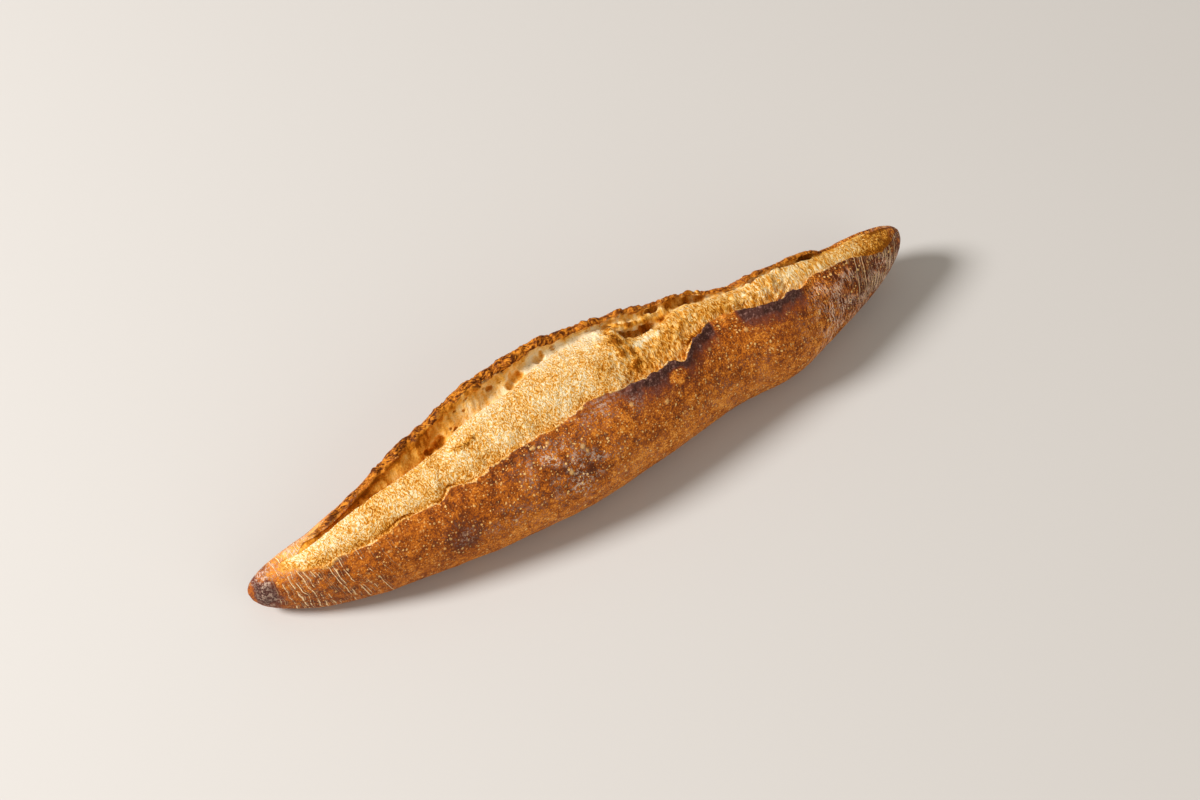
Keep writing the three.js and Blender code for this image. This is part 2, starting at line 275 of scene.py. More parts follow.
def on_section(points, k, t):
    """The closed centripetal curve through each section's control points, on its k-th stretch at t."""
    count = points.shape[1]
    p0, p1, p2, p3 = (points[:, (k + ahead) % count] for ahead in (-1, 0, 1, 2))
    d0, d1, d2 = (np.maximum(np.linalg.norm(b - a, axis=-1, keepdims=True), 1e-6) ** 0.5
                  for a, b in ((p0, p1), (p1, p2), (p2, p3)))
    leave = ((p1 - p0) / d0 - (p2 - p0) / (d0 + d1) + (p2 - p1) / d1) * d1
    arrive = ((p2 - p1) / d1 - (p3 - p1) / (d1 + d2) + (p3 - p2) / d2) * d1
    return mix(p1, p2, t * t * (3 - 2 * t)) + t * (1 - t) ** 2 * leave - t * t * (1 - t) * arrive


# The skin as a grid: u is the station, and v is the place round the section, counted in control points from
# the near flank over the lip, the crumb, the groove, the ear's crest and the far flank to the base.
RINGS = 1000
END_CROWDING = 0.3
STEPS = [18, 22, 16, 8, 6, 7, 26, 28, 28, 14, 14, 14, 13, 11, 8, 18, 18, 16, 8, 7, 7, 9, 18]
LIP_PLACE = 4.6
BASE_PLACE = 19.5
evenly = np.arange(1, RINGS + 1) / (RINGS + 1)
station = mix(evenly, (1 - np.cos(np.pi * evenly)) / 2, END_CROWDING)
controls, base_height = section_controls(station)
lines = [on_section(controls, k, step / steps) for k, steps in enumerate(STEPS) for step in range(steps)]
around = np.concatenate([k + np.arange(steps) / steps for k, steps in enumerate(STEPS)])
skin = np.empty((RINGS, len(around), 3))
skin[..., 0] = ((station - 0.5) * LENGTH)[:, None]
skin[..., 1:] = np.stack(lines, 1)
skin[..., 2] = np.maximum(skin[..., 2], base_height[:, None])
middle_y = (skin[..., 1].max() + skin[..., 1].min()) / 2
skin[..., 1] -= middle_y
u = np.broadcast_to(station[:, None], skin.shape[:2])
v = np.broadcast_to(around[None, :], skin.shape[:2])
outward = np.cross(np.gradient(skin, axis=0), np.roll(skin, -1, 1) - np.roll(skin, 1, 1))
outward /= np.maximum(np.linalg.norm(outward, axis=-1, keepdims=True), 1e-9)


def spot(at_u, at_v):
    """The ring and the column of the grid that are nearest to a place on the skin."""
    return int(np.argmin(np.abs(station - at_u))), int(np.argmin(np.abs(around - at_v)))


def ovals(at_u, at_v, long, wide, shift=0.0):
    """Rings round a place on the skin: 1 at the given reach along and round the loaf, in millimetres."""
    gap = skin - skin[spot(at_u, at_v)] + shift
    return (gap[..., 0] / long) ** 2 + (gap[..., 1] ** 2 + gap[..., 2] ** 2) / wide**2


def patch(at_u, at_v, long, wide):
    """A soft patch round a place on the skin."""
    return np.exp(-ovals(at_u, at_v, long, wide))


def patches(listed):
    """The sum of soft patches, each with its amount, its place and its reach along and round the loaf."""
    return sum(amount * patch(*where) for amount, *where in listed)


def near_line(places, reach, power=2):
    """1 on a line through the given places on the skin, fading to 0 past the reach in millimetres."""
    knots = np.array([skin[spot(*where)] for where in places])
    nearest = np.full(u.shape, np.inf)
    for a, b in zip(knots[:-1], knots[1:]):
        t = np.clip(((skin - a) @ (b - a)) / ((b - a) @ (b - a)), 0, 1)
        nearest = np.minimum(nearest, np.linalg.norm(skin - a - t[..., None] * (b - a), axis=-1))
    return bell(nearest, reach, power)


stride = np.linalg.norm(np.roll(skin, -1, 1) - skin, axis=-1)
run = np.cumsum(stride, 1) - stride
whole_round = run[:, -1:] + stride[:, -1:]
lip_column = spot(0.5, LIP_PLACE)[1]
lip_run = run[:, [lip_column]]
past_base = v > BASE_PLACE
from_lip = np.where(past_base, lip_run + whole_round - run, lip_run - run)
flat_skin = np.stack([skin[..., 0], -from_lip, 0 * u], -1)


def lip_band(inside, reach):
    """1 on a line that follows the near lip at some millimetres inside the slash."""
    return bell(from_lip + inside, reach)


# The burst crumb in the slashes: soft dough that tore open in the oven into short curled threads, golden
# where they are toasted and cream where they are sheltered. Right of the fold they are pulled long across
# the slash. Its far part, on the ear's inner face, is kept apart from the bloom in the middle.
SHORT_THREAD = (1.6, 2.6, 1.0)
LONG_THREAD = (1.5, 5.5, 1.0)
FRINGE_THREAD = (1.1, 9.0, 1.0)
CURL_SIZE = 0.9
TOAST_PATCHES = [(0.15, 0.46, 8.4, 24, 7), (-0.14, 0.37, 7.2, 26, 8), (-0.2, 0.53, 9.0, 20, 6),
                 (-0.16, 0.33, 9.0, 30, 6), (0.26, 0.565, 6.9, 12, 6)]
RIDGE_LINE = [(0.290, 8.3), (0.304, 8.12), (0.318, 8.1)]
soft_edge = 1 - smooth(0.47, 0.53, u)
fuzzy = 1 - smooth(0.09, 0.14, u)
shaggy = plateau(u, 0.27, 0.54, 0.06, 0.04)
right_dome = smooth(0.87, 0.92, u)
lip_noise = uneven(skin, (mix(0.7, 1.1, shaggy), 3.2, 11), (mix(0.6, 1.1, shaggy), 1.3, 12),
                   (1.5 * fuzzy, 5.0, 20))
wide_rim = 0.8 * plateau(u, 0.36, 0.56, 0.06, 0.05)
closed_end = 3.4 * (1 - smooth(0.062, 0.084, u)) + 3.3 * smooth(0.92, 0.955, u)
far_edge = v + wide_rim + closed_end + uneven(skin, (0.5, 4.0, 13), (0.3, 1.6, 29))
in_crumb = smooth(-0.4 - fuzzy, 0.7 + fuzzy, lip_noise - from_lip) * ~past_base
in_crumb *= (1 - smooth(12.6, 13.2, far_edge)) * (1 - smooth(13.3, 13.8, v))
in_crumb *= plateau(u + 0.012 * lumps(skin, 5.0, 14), 0.035, 0.978, 0.02, 0.014)
strands = smooth(0.53, 0.58, u) * (1 - smooth(0.86, 0.93, u)) * (0.85 + 0.4 * lumps(skin, 14.0, 15))
strands = np.clip(strands, 0, 1)
curled = flat_skin + CURL_SIZE * np.stack([lumps(skin, 4.0, 16), lumps(skin, 5.0, 17), 0 * u], -1)
threads = mix(lumps(curled, SHORT_THREAD, 18), lumps(curled, LONG_THREAD, 19), strands)
bumps = uneven(skin, (0.9, 9.0, 21), (0.4, 4.0, 22))
fringe = plateau(u, 0.40, 0.565, 0.05, 0.02)
hanging = 0.5 * fringe * (0.5 + lumps(curled, FRINGE_THREAD, 26))
on_face = in_crumb * smooth(9.2, 10.0, v + 0.3 * lumps(skin, 3.0, 25) - hanging)
on_bloom = in_crumb - on_face
ridge = near_line(RIDGE_LINE, 1.4)
crack = plateau(u, 0.15, 0.31, 0.02, 0.03) * lip_band(2.6 + 0.8 * lumps(skin, 3.0, 39), 0.6)
crack *= smooth(-0.5, 0.3, lumps(skin, 8.0, 40))
rim_line = right_dome * (v > 8.5) * bell(far_edge - 12.4, 0.7)
lobe_light_and_shade = soft_edge * (1 - fuzzy) * np.clip(1 - shaggy * (0.5 - lumps(skin, 5.0, 38)), 0, 1.2)
relief = on_bloom * (0.26 * threads + 0.5 * bumps) + in_crumb * (1.1 * ridge - 0.5 * crack)
across = np.clip((v - 6) / 3, 0, 1)
toast = 0.40 - 0.10 * threads - 0.06 * bumps + uneven(skin, (0.14, 12.0, 23), (0.14, 5.0, 24))
# Painted shade: the crack inside the near edge is also coloured darker.
toast += patches(TOAST_PATCHES) + 0.4 * crack + 0.7 * rim_line + 0.34 * ridge
toast += 0.04 * (0.45 - across) * soft_edge + 0.06 * (1 - smooth(0.2, 0.34, u))
toast += 0.2 * (1 - smooth(0.042, 0.07, u)) - 0.08 * (1 - smooth(0.08, 0.16, u)) * smooth(6.6, 7.8, v)
toast += 0.40 * smooth(0.915, 0.945, u) + 0.12 * plateau(u, 0.56, 0.74, 0.03, 0.03)
toast += 0.02 * plateau(u, 0.09, 0.24, 0.03, 0.06)
toast += 0.20 * fuzzy * lip_band(2.5, 3.0) + 0.25 * right_dome * lip_band(1.2, 1.4)
# Painted light on the crumb's scalloped lobes: a pale highlight line just inside the edge, and a band of
# painted shade further in.
toast += lobe_light_and_shade * (0.16 * lip_band(3.2, 1.6) - 0.22 * lip_band(0.9, 0.6))
toast -= 0.22 * plateau(u, 0.55, 0.64, 0.02, 0.02) * lip_band(2.4, 1.6)
toast -= 0.18 * plateau(u, 0.42, 0.545, 0.03, 0.01) * bell(v - 9.0, 0.6)

# The fold and the torn pocket behind it: a toasted step across the first slash, a hole under a thin torn
# flap, and a strip of skin torn loose at the near lip. All of it is crumb that tore as the slash opened. The
# hole is coloured darker as painted shade, and a pale line along the shelf before it is a painted highlight.
FOLD_LINE = [(0.543, 8.3), (0.547, 7.7), (0.556, 7.3), (0.546, 6.9)]
TEAR_LINE = [(0.556, 11.0), (0.549, 9.7), (0.5465, 8.8), (0.546, 8.2)]
FLAP_LINE = [(0.561, 10.9), (0.572, 11.05), (0.586, 11.0), (0.606, 10.7), (0.622, 10.3)]
POCKET_LINE = [(0.564, 10.0), (0.575, 10.25), (0.588, 10.3), (0.602, 10.3)]
SHELF_HIGHLIGHT_LINE = [(0.566, 8.3), (0.577, 8.5), (0.600, 8.55)]
STRIP_LINE = [(0.629, 6.5), (0.640, 6.7), (0.650, 6.5), (0.660, 6.0)]
POCKET_DEPTH = 3.0
torn = 1 + 0.7 * lumps(skin, 1.6, 27)
fold = near_line(FOLD_LINE, 3.8) * np.clip(0.9 + 0.9 * lumps(skin, 2.6, 28), 0, 1.5)
tear = near_line(TEAR_LINE, 2.6)
flap = near_line(FLAP_LINE, 1.3)
pocket = near_line(POCKET_LINE, 2.4 * torn, 4)
shelf_highlight = near_line(SHELF_HIGHLIGHT_LINE, 2.0)
strip = near_line(STRIP_LINE, 0.9)
wall = plateau(u, 0.549, 0.570, 0.006, 0.006) * smooth(7.0, 8.0, v) * (1 - smooth(9.6, 10.2, v))
relief += in_crumb * (torn * (fold + 0.8 * flap + 1.3 * strip) + 0.7 * tear * (torn - 0.6))
relief -= in_crumb * POCKET_DEPTH * pocket * (1 - flap)
# Painted highlight: the shelf line is coloured paler along the crumb's far edge in front of the pocket.
toast += torn * (0.24 * wall + 0.44 * fold + 0.55 * tear + 0.20 * flap) + 0.34 * strip - 0.40 * shelf_highlight
toast += 0.30 * patch(0.697, 6.6, 10, 4) * np.clip(0.6 + lumps(skin, 2.5, 30), 0, 1.4)

# The ear: the far lip of the slash, lifted by the oven spring into a thin flap. Its rim is dark, rough and
# porous, and its inner face shows stretched amber skins with gas cells torn open. A cell has its station,
# its place round the section, and its half length and half width in millimetres.
FACE_TOAST = [(0, 0.7), (0.1, 0.7), (0.18, 0.68), (0.26, 0.64), (0.34, 0.26), (0.44, 0.10), (0.53, 0.12),
              (0.6, 0.38), (0.68, 0.3), (0.74, 0.3), (0.82, 0.45), (0.88, 0.45), (1, 0.5)]
WIDE_SKIN = (6.0, 12.0, 1.0)
NARROW_SKIN = (1.8, 6.0, 1.0)
LARGE_CELLS = [(0.288, 10.5, 4.0, 2.8), (0.272, 10.6, 3.6, 1.8), (0.415, 10.5, 4.2, 3.0),
               (0.404, 10.4, 3.0, 2.2), (0.453, 10.4, 3.4, 2.4), (0.376, 11.3, 1.8, 1.3),
               (0.369, 11.6, 1.2, 0.9), (0.618, 11.9, 3.6, 2.0), (0.648, 11.4, 5.0, 3.0),
               (0.668, 11.2, 6.0, 3.4), (0.684, 10.9, 4.0, 2.6), (0.845, 11.2, 6.0, 1.8)]
SMALL_CELLS = 14
SMALL_CELL_RANGES = ((0.3, 0.56), (10.4, 12.1), (0.6, 1.5), (0.5, 0.9))
FULL_CELL = 2.2
CELL_DEPTH = 2.4
rim_place = v + wide_rim - 0.4 * (1 - smooth(0.2, 0.34, u)) + uneven(skin, (0.5, 7.0, 30), (0.4, 2.6, 31))
on_rim = smooth(12.3, 12.9, rim_place) * (1 - smooth(14.4, 15.2, v))
on_rim *= plateau(u, 0.075, 0.9, 0.03, 0.05) * (1 - 0.25 * smooth(0.48, 0.6, u))
swollen = 0.7 * plateau(u, 0.33, 0.6, 0.04, 0.04)
relief += on_rim * (swollen + uneven(skin, (0.8, 5.0, 37), (0.5, 2.0, 32), (0.3, 1.0, 33)))
stretched = uneven(curled, (1.0, WIDE_SKIN, 34), (0.6, NARROW_SKIN, 35))
cell_places = np.random.default_rng(11)
torn_cells = list(LARGE_CELLS)
for _ in range(SMALL_CELLS):
    torn_cells.append([cell_places.uniform(low, high) for low, high in SMALL_CELL_RANGES])
cell_noise = lumps(skin, 1.9, 36)[..., None]
cells = np.zeros(u.shape)
nearest_cell = np.full(u.shape, np.inf)
for at_u, at_v, long, wide in torn_cells:
    from_cell = ovals(at_u, at_v, long, wide, (0.4 + 0.2 * wide) * cell_noise)
    nearest_cell = np.minimum(nearest_cell, from_cell)
    cells = np.maximum(cells, min(long / FULL_CELL, 1) * bell(from_cell, 1, 2.2))
cell_edge = bell(nearest_cell - 1.5, 0.5)
relief += on_face * (0.6 * stretched + 0.15 * threads - CELL_DEPTH * cells + 0.2 * cell_edge)
# Painted shade: the torn gas cells are coloured darker than the face round them.
face_toast = along(FACE_TOAST, u) + 0.20 * stretched - 0.05 * threads + 0.42 * cells - 0.16 * cell_edge
face_toast += 0.3 * smooth(11.4, 12.7, v + wide_rim) - 0.32 * fringe * bell(v - 9.8, 0.7)
# Painted shade: the bottom of the groove left of the middle and the inside of the pocket are coloured darker.
face_toast += 0.12 * bell(v - 10.0, 0.4) * (1 - smooth(0.22, 0.34, u)) + 0.50 * pocket
toast = mix(toast, face_toast, on_face / np.maximum(in_crumb, 0.001))
toast += (0.40 * tear + 0.45 * flap * torn) * on_face

# The burnt lips: on the near side of each slash the crust edge curled up and baked to a dark purple brown,
# which fades through red brown into the crust below.
burn = plateau(u, 0.500, 0.674, 0.035, 0.01) + plateau(u, 0.702, 0.812, 0.014, 0.018)
below_lip = np.maximum(from_lip, 0) / (1 + uneven(skin, (0.35, 7.0, 41), (0.2, 2.5, 44)))
band = (0.75 * bell(below_lip, 7.0, 3) + 0.5 * bell(below_lip, 14.0)) * ~past_base
band *= smooth(-2.6, -1.2, from_lip + 0.6 * lumps(skin, 1.5, 45))
char = burn * band * (1 + 0.35 * lumps(skin, 2.6, 42))
char += 0.34 * plateau(u, 0.42, 0.53, 0.06, 0.03) * bell(below_lip, 9.0) * (v < 5.2)
lip_lumps = uneven(skin, (0.5, 1.6, 43), (0.7, 3.4, 46))
relief += burn * bell(below_lip, 6.0) * lip_lumps * ~past_base

# The crust: the dough's outer skin, baked golden to red-brown, with small blisters where gas collected under
# it, creases where the skin wrinkled toward the tips, and flour left from the proving cloth. A blister has
# its station, its place round the section and its radius in millimetres.
LARGE_BLISTERS = [(0.517, 2.4, 1.4), (0.562, 1.77, 1.5), (0.649, 2.4, 1.2), (0.666, 2.4, 1.1),
                  (0.434, 1.9, 1.6), (0.438, 1.75, 1.2), (0.707, 2.2, 1.4), (0.377, 3.2, 1.3),
                  (0.396, 2.86, 1.2), (0.407, 1.4, 1.5)]
SMALL_BLISTERS = 420
SHARE_ON_NEAR_SIDE = 0.72
BIG_BLISTER = (0.593, 2.45)
BAKE_PATCHES = [(0.46, 0.253, 1.0, 11, 10), (0.34, 0.425, 1.3, 14, 10), (0.05, 0.36, 2.6, 22, 9),
                (0.12, 0.382, 0.6, 16, 8), (-0.14, 0.215, 0.4, 16, 8), (0.06, 0.10, 1.7, 12, 8),
                (-0.66, 0.07, 13.5, 26, 12), (-0.10, 0.15, 1.0, 22, 12), (-0.10, 0.045, 0.6, 8, 10)]
CHAR_PATCHES = [(1.1, 0.015, 1.0, 6, 6), (0.4, 0.061, 3.3, 1.6, 1.6), (0.22, 0.253, 1.0, 8, 8)]
FLOUR_PATCHES = [(0.9, 0.39, 1.9, 14, 8), (0.8, 0.407, 0.7, 9, 7), (0.8, 0.44, 1.3, 11, 7),
                 (0.7, 0.517, 2.4, 4.5, 3.5), (0.6, 0.475, 2.9, 15, 6), (0.45, 0.31, 0.9, 10, 6),
                 (0.25, 0.253, 1.0, 9, 7), (0.04, 0.10, 0.8, 14, 9), (1.0, 0.08, 14.5, 24, 14)]
CREASE_LEVEL = 20
in_crust = 1 - in_crumb
bare = in_crust * (1 - on_rim)
relief += bare * uneven(skin, (0.40, 15.0, 51), (0.16, 5.0, 52), (0.10, 1.8, 53))
bridge = patch(0.688, 3.4, 7, 5) * in_crust
relief += bridge * (0.9 * lumps(skin, 3.0, 47) + 0.4)
from_left = skin[..., 0] + LENGTH / 2
from_right = LENGTH / 2 - skin[..., 0]
from_tip = np.minimum(from_left, from_right)
drift = from_tip + mix(0.1, 0.42, smooth(5, 60, from_tip)) * (skin[..., 2] - CREASE_LEVEL)
drift += uneven(skin, (1.3, 9.0, 61), (0.6, 3.5, 62))
off_base = 1 - smooth(18.0, 19.0, v) * (1 - smooth(21.5, 22.5, v))
wrinkle = (1 - smooth(38.0, 90.0, from_left)) * smooth(8.0, 16.0, from_left)
wrinkle += (1 - smooth(26.0, 60.0, from_right)) * smooth(6.0, 13.0, from_right) * (v < 5)
wrinkle *= bare * off_base * smooth(-1.0, 0.0, uneven(skin, (1.0, 9.0, 63), (0.5, 4.0, 64)))

blister_places = np.random.default_rng(7)
all_blisters = list(LARGE_BLISTERS)
for _ in range(SMALL_BLISTERS):
    on_near_side = blister_places.random() < SHARE_ON_NEAR_SIDE
    at_v = blister_places.uniform(-2.0, 4.2) if on_near_side else blister_places.uniform(15.2, 18.2)
    at_u = blister_places.uniform(0.05, 0.96)
    radius = 0.3 + 0.6 * blister_places.random() ** 4
    all_blisters.append((at_u, at_v % len(STEPS), radius))
blisters = np.zeros(u.shape)
for at_u, at_v, radius in all_blisters:
    row, column = spot(at_u, at_v)
    rows = slice(max(row - int(4 * radius) - 4, 0), row + int(4 * radius) + 5)
    gap = np.linalg.norm(skin[rows] - skin[row, column], axis=-1) / radius
    blisters[rows] = np.maximum(blisters[rows], np.clip(1 - gap**2, 0, 1) * min(radius / 1.2, 1.6))
blisters *= bare
pale = np.clip(0.7 * blisters, 0, 0.6)
big_blister = smooth(0.16, 0.66, patch(*BIG_BLISTER, 6.0, 4.6) + 0.16 * lumps(skin, 3.0, 48)) * bare
blister_edge = big_blister * (1 - big_blister)
relief += 0.32 * blisters + 0.7 * patch(*BIG_BLISTER, 5.0, 4.0) * bare


def near_side(top, bottom):
    """The near flank, up to the first place and down to the second."""
    return (v < top) | (v > bottom)


far_side = (v > 14.5) & (v < 19.0)
cap = (1 - smooth(10.0, 15.0, from_left + 2.0 * lumps(skin, 4.0, 49))) * smooth(6.0, 10.0, skin[..., 2])
cap *= smooth(1.0, 4.0, from_left)
nose = smooth(0.915, 0.955, u) * near_side(5, 21.5)
bake = 0.60 + uneven(skin, (0.10, 26.0, 54), (0.09, 9.0, 55), (0.08, 3.5, 56)) + patches(BAKE_PATCHES)
bake += 0.34 * smooth(0.80, 0.93, u) * near_side(5, 21) - 0.36 * big_blister + 0.9 * blister_edge
bake += 0.14 * lip_band(-4, 6) * plateau(u, 0.28, 0.53, 0.08, 0.02)
bake += 0.24 * lip_band(-7, 6) * plateau(u, 0.50, 0.83, 0.02, 0.05)
# Painted bounce light: the crust is made paler low on the near flank, next to the table.
bake -= 0.12 * smooth(22, 34, from_lip) * (v > 17) + 0.17 * smooth(26, 40, from_lip) * (v < 3)
bake += 0.20 * wrinkle - 0.30 * bridge + 0.14 * far_side * lumps(skin, 16.0, 59)
char *= 1 - 0.8 * big_blister
char += patches(CHAR_PATCHES) + 0.56 * cap * (0.9 + 0.6 * lumps(skin, 3.0, 57))
char += 0.06 * nose + 0.6 * rim_line
flour = patches(FLOUR_PATCHES) + 0.36 * cap + 0.75 * nose
flour += 0.8 * plateau(u, 0.76, 1.0, 0.08, 0.001) * smooth(2, 9, from_lip) * near_side(4, 22)
flour += 0.12 * plateau(u, 0.28, 0.78, 0.1, 0.1) * smooth(20, 34, from_lip) * near_side(3, 21)
flour += 0.7 * smooth(0.92, 0.95, u) * ((v > 10) & (v < 18))
flour += 0.4 * far_side * smooth(0.0, 0.7, lumps(skin, 22.0, 60))
flour = np.clip(flour, 0, 1) * bare * smooth(-0.6, 0.5, lumps(skin, 5.0, 58))

# The loaf's one surface: the rings of the skin, moved out by the relief, joined along the loaf and closed
# with a point at each tip. Each mark is kept on it as a value that the finish reads.
UV_MARGIN = 0.005
TIP_MARGIN = 0.001
skin += outward * relief[..., None]
skin[..., 2] = np.maximum(skin[..., 2], 0)
ring_size = len(around)
left_tip = [-LENGTH / 2, MIDDLE_LINE[0][1] - middle_y, LEFT_TIP_HEIGHT]
right_tip = [LENGTH / 2, MIDDLE_LINE[-1][1] - middle_y, RIGHT_TIP_HEIGHT]
points = np.concatenate([skin.reshape(-1, 3), [left_tip, right_tip]]) / 1000
row, column = (part.ravel() for part in np.indices((RINGS - 1, ring_size)))
after = (column + 1) % ring_size
quads = np.stack([row * ring_size + column, (row + 1) * ring_size + column,
                  (row + 1) * ring_size + after, row * ring_size + after], 1)
ring = np.arange(ring_size)
ring_after = (ring + 1) % ring_size
last = (RINGS - 1) * ring_size
left_cap = np.stack([np.full(ring_size, RINGS * ring_size), ring, ring_after], 1)
right_cap = np.stack([last + ring, np.full(ring_size, RINGS * ring_size + 1), last + ring_after], 1)
mesh = bpy.data.meshes.new("loaf")
mesh.from_pydata(points.tolist(), [], quads.tolist() + left_cap.tolist() + right_cap.tolist())
mesh.polygons.foreach_set("use_smooth", np.ones(len(mesh.polygons), bool))


def corner_uvs(*corners):
    """Places of the faces' corners on the flat map: all first corners, all second ones and so on go in."""
    return np.stack([np.stack(np.broadcast_arrays(*corner), -1) for corner in corners], 1).reshape(-1, 2)


uv_along = mix(UV_MARGIN, 1 - UV_MARGIN, station)
uv_round = mix(UV_MARGIN, 1 - UV_MARGIN, np.arange(ring_size + 1) / ring_size)
low, high = uv_round[:-1], uv_round[1:]
quad_uvs = corner_uvs((uv_along[row], low[column]), (uv_along[row + 1], low[column]),
                      (uv_along[row + 1], high[column]), (uv_along[row], high[column]))
left_uvs = corner_uvs((TIP_MARGIN, low), (uv_along[0], low), (uv_along[0], high))
right_uvs = corner_uvs((uv_along[-1], low), (1 - TIP_MARGIN, low), (uv_along[-1], high))
all_uvs = np.concatenate([quad_uvs, left_uvs, right_uvs]).astype(np.float32)
mesh.uv_layers.new(name="OFBake").data.foreach_set("uv", all_uvs.ravel())
marks = {"bake": bake, "char": char, "flour": flour, "pale": pale, "crumb": in_crumb, "toast": toast,
         "rim": on_rim, "pitted": on_bloom, "wrinkle": wrinkle, "drift": drift, "strand": strands, "along": u}
for name, values in marks.items():
    values = np.concatenate([values.ravel(), [values[0].mean(), values[-1].mean()]]).astype(np.float32)
    mesh.attributes.new(name, "FLOAT", "POINT").data.foreach_set("value", values)
chart = np.concatenate([flat_skin.reshape(-1, 3), flat_skin[[0, -1], 0]]).astype(np.float32)
mesh.attributes.new("chart", "FLOAT_VECTOR", "POINT").data.foreach_set("vector", chart.ravel())


# The loaf's finish: dry crust from gold to dark red brown, freckled, floured, and burnt at the lips and the
# left tip; a porous brown rim on the ear; and crumb from cream in its hollows to amber where it is toasted.
CRUST_TONES = [(0.0, (244, 176, 84)), (0.25, (222, 138, 46)), (0.5, (186, 102, 24)), (0.75, (138, 68, 14)),
               (1.0, (84, 40, 18))]
CRUMB_TONES = [(0.0, (241, 224, 187)), (0.25, (237, 201, 135)), (0.5, (226, 164, 68)), (0.75, (194, 118, 24)),
               (1.0, (138, 76, 6))]
RIM_TONES = [(0.34, (84, 38, 4)), (0.5, (150, 80, 14)), (0.68, (214, 134, 38))]
FLECK = (242, 180, 104)
BLISTER = (246, 198, 122)
SCORCHED = (122, 58, 32)
BURNT = (76, 45, 38)
# Painted highlight: the grey of glints on the rough burnt crust.
BURNT_GLINT = (138, 102, 90)
FLOUR = (230, 200, 176)
CREASE = (250, 214, 164)
AMBER_SKIN = (232, 172, 66)
DOT_EDGE = 0.16
CREASE_EDGE = 0.18
CURL_SPACING = 3.2
CURL_REACH = 3.0
CRUST_ROUGHNESS = 0.5
CRUMB_ROUGHNESS = 0.85
SHEEN = 0.09
GRAIN_HEIGHT = 0.0006
loaf_finish = bpy.data.materials.new("baked_loaf")
loaf_finish.use_nodes = True
nodes, links = loaf_finish.node_tree.nodes, loaf_finish.node_tree.links
shader = nodes["Principled BSDF"]


def tint(red, green, blue):
    """A display colour from 0 to 255 as linear light."""
    c = np.array([red, green, blue]) / 255
    return (*np.where(c <= 0.04045, c / 12.92, ((c + 0.055) / 1.055) ** 2.4), 1.0)


def add(kind, **settings):
    """A new node of the finish."""
    node = nodes.new(kind)
    for key, value in settings.items():
        setattr(node, key, value)
    return node


def field(name):
    """A mark that the mesh carries."""
    return add("ShaderNodeAttribute", attribute_name=name).outputs["Fac"]


def work(operation, first, second, clamp=False):
    """One step of arithmetic with two values, each a number or a socket."""
    node = add("ShaderNodeMath", operation=operation, use_clamp=clamp)
    for socket, value in zip(node.inputs, (first, second)):
        if isinstance(value, (int, float)):
            socket.default_value = value
        else:
            links.new(value, socket)
    return node.outputs[0]


def plus(first, second):
    return work("ADD", first, second)


def less(first, second):
    return work("SUBTRACT", first, second)


def times(first, second, clamp=False):
    return work("MULTIPLY", first, second, clamp)


def larger(first, second):
    return work("MAXIMUM", first, second)


def vary(base, texture, amount):
    """The base value, moved up and down by a texture that runs from 0 to 1."""
    return plus(base, times(less(texture, 0.5), amount))


def above(texture, low, high):
    """0 where the texture is under low, 1 where it is over high."""
    return times(less(texture, low), 1 / (high - low), clamp=True)


def either(share, first, second):
    """The first texture where the share is 0, the second where it is 1."""
    return plus(times(first, less(1.0, share)), times(second, share))


def chance_of(cell):
    """The random share, from 0 to 1, that each cell of a cell texture carries."""
    share = add("ShaderNodeSeparateColor")
    links.new(cell.outputs["Color"], share.inputs["Color"])
    return share.outputs[0]


def grain(size, detail, roughness=0.6):
    """Even noise all over the loaf, with grains of the given size in millimetres."""
    node = add("ShaderNodeTexNoise")
    node.inputs["Scale"].default_value = 1000 / size
    node.inputs["Detail"].default_value = detail
    node.inputs["Roughness"].default_value = roughness
    links.new(loaf_place, node.inputs["Vector"])
    return node.outputs["Fac"]


def on_chart(along_by, round_by, from_place):
    """A place on the skin, counted in steps of the given length along the loaf and round it."""
    scaled = add("ShaderNodeVectorMath", operation="MULTIPLY")
    scaled.inputs[1].default_value = (1 / along_by, 1 / round_by, 0.0)
    links.new(from_place, scaled.inputs[0])
    return scaled.outputs["Vector"]


def dots(spacing, share, reach):
    """Round spots on the skin, on a share of the cells of the given spacing."""
    cell = add("ShaderNodeTexVoronoi", voronoi_dimensions="2D")
    cell.inputs["Scale"].default_value = 1.0
    links.new(on_chart(spacing, spacing, chart_place), cell.inputs["Vector"])
    radius = times(less(chance_of(cell), 1 - share), reach / share)
    return times(less(radius, cell.outputs["Distance"]), spacing / DOT_EDGE, clamp=True)


def strokes(width, length):
    """A curled texture of threads that run across the loaf, of the given width and length."""
    node = add("ShaderNodeTexNoise", noise_dimensions="2D")
    node.inputs["Scale"].default_value = 1.0
    node.inputs["Detail"].default_value = 1.0
    links.new(on_chart(width, length, curled_place), node.inputs["Vector"])
    return node.outputs["Fac"]


def crease_lines(spacing, width):
    """Fine lines that run round the ends, at random distances, each of its own width up to the given one."""
    line = add("ShaderNodeTexVoronoi", voronoi_dimensions="1D")
    line.inputs["Scale"].default_value = 1 / spacing
    links.new(field("drift"), line.inputs["W"])
    shown = times(plus(chance_of(line), less(field("wrinkle"), 1.0)), 3.0, clamp=True)
    reach = times(shown, width / spacing)
    return times(less(reach, line.outputs["Distance"]), spacing / CREASE_EDGE, clamp=True)


def ramp(value, tones):
    """A colour that runs through the given tones as the value rises."""
    node = add("ShaderNodeValToRGB")
    while len(node.color_ramp.elements) < len(tones):
        node.color_ramp.elements.new(0.5)
    for element, (position, colour) in zip(node.color_ramp.elements, tones):
        element.position = position
        element.color = tint(*colour)
    links.new(value, node.inputs["Fac"])
    return node.outputs["Color"]


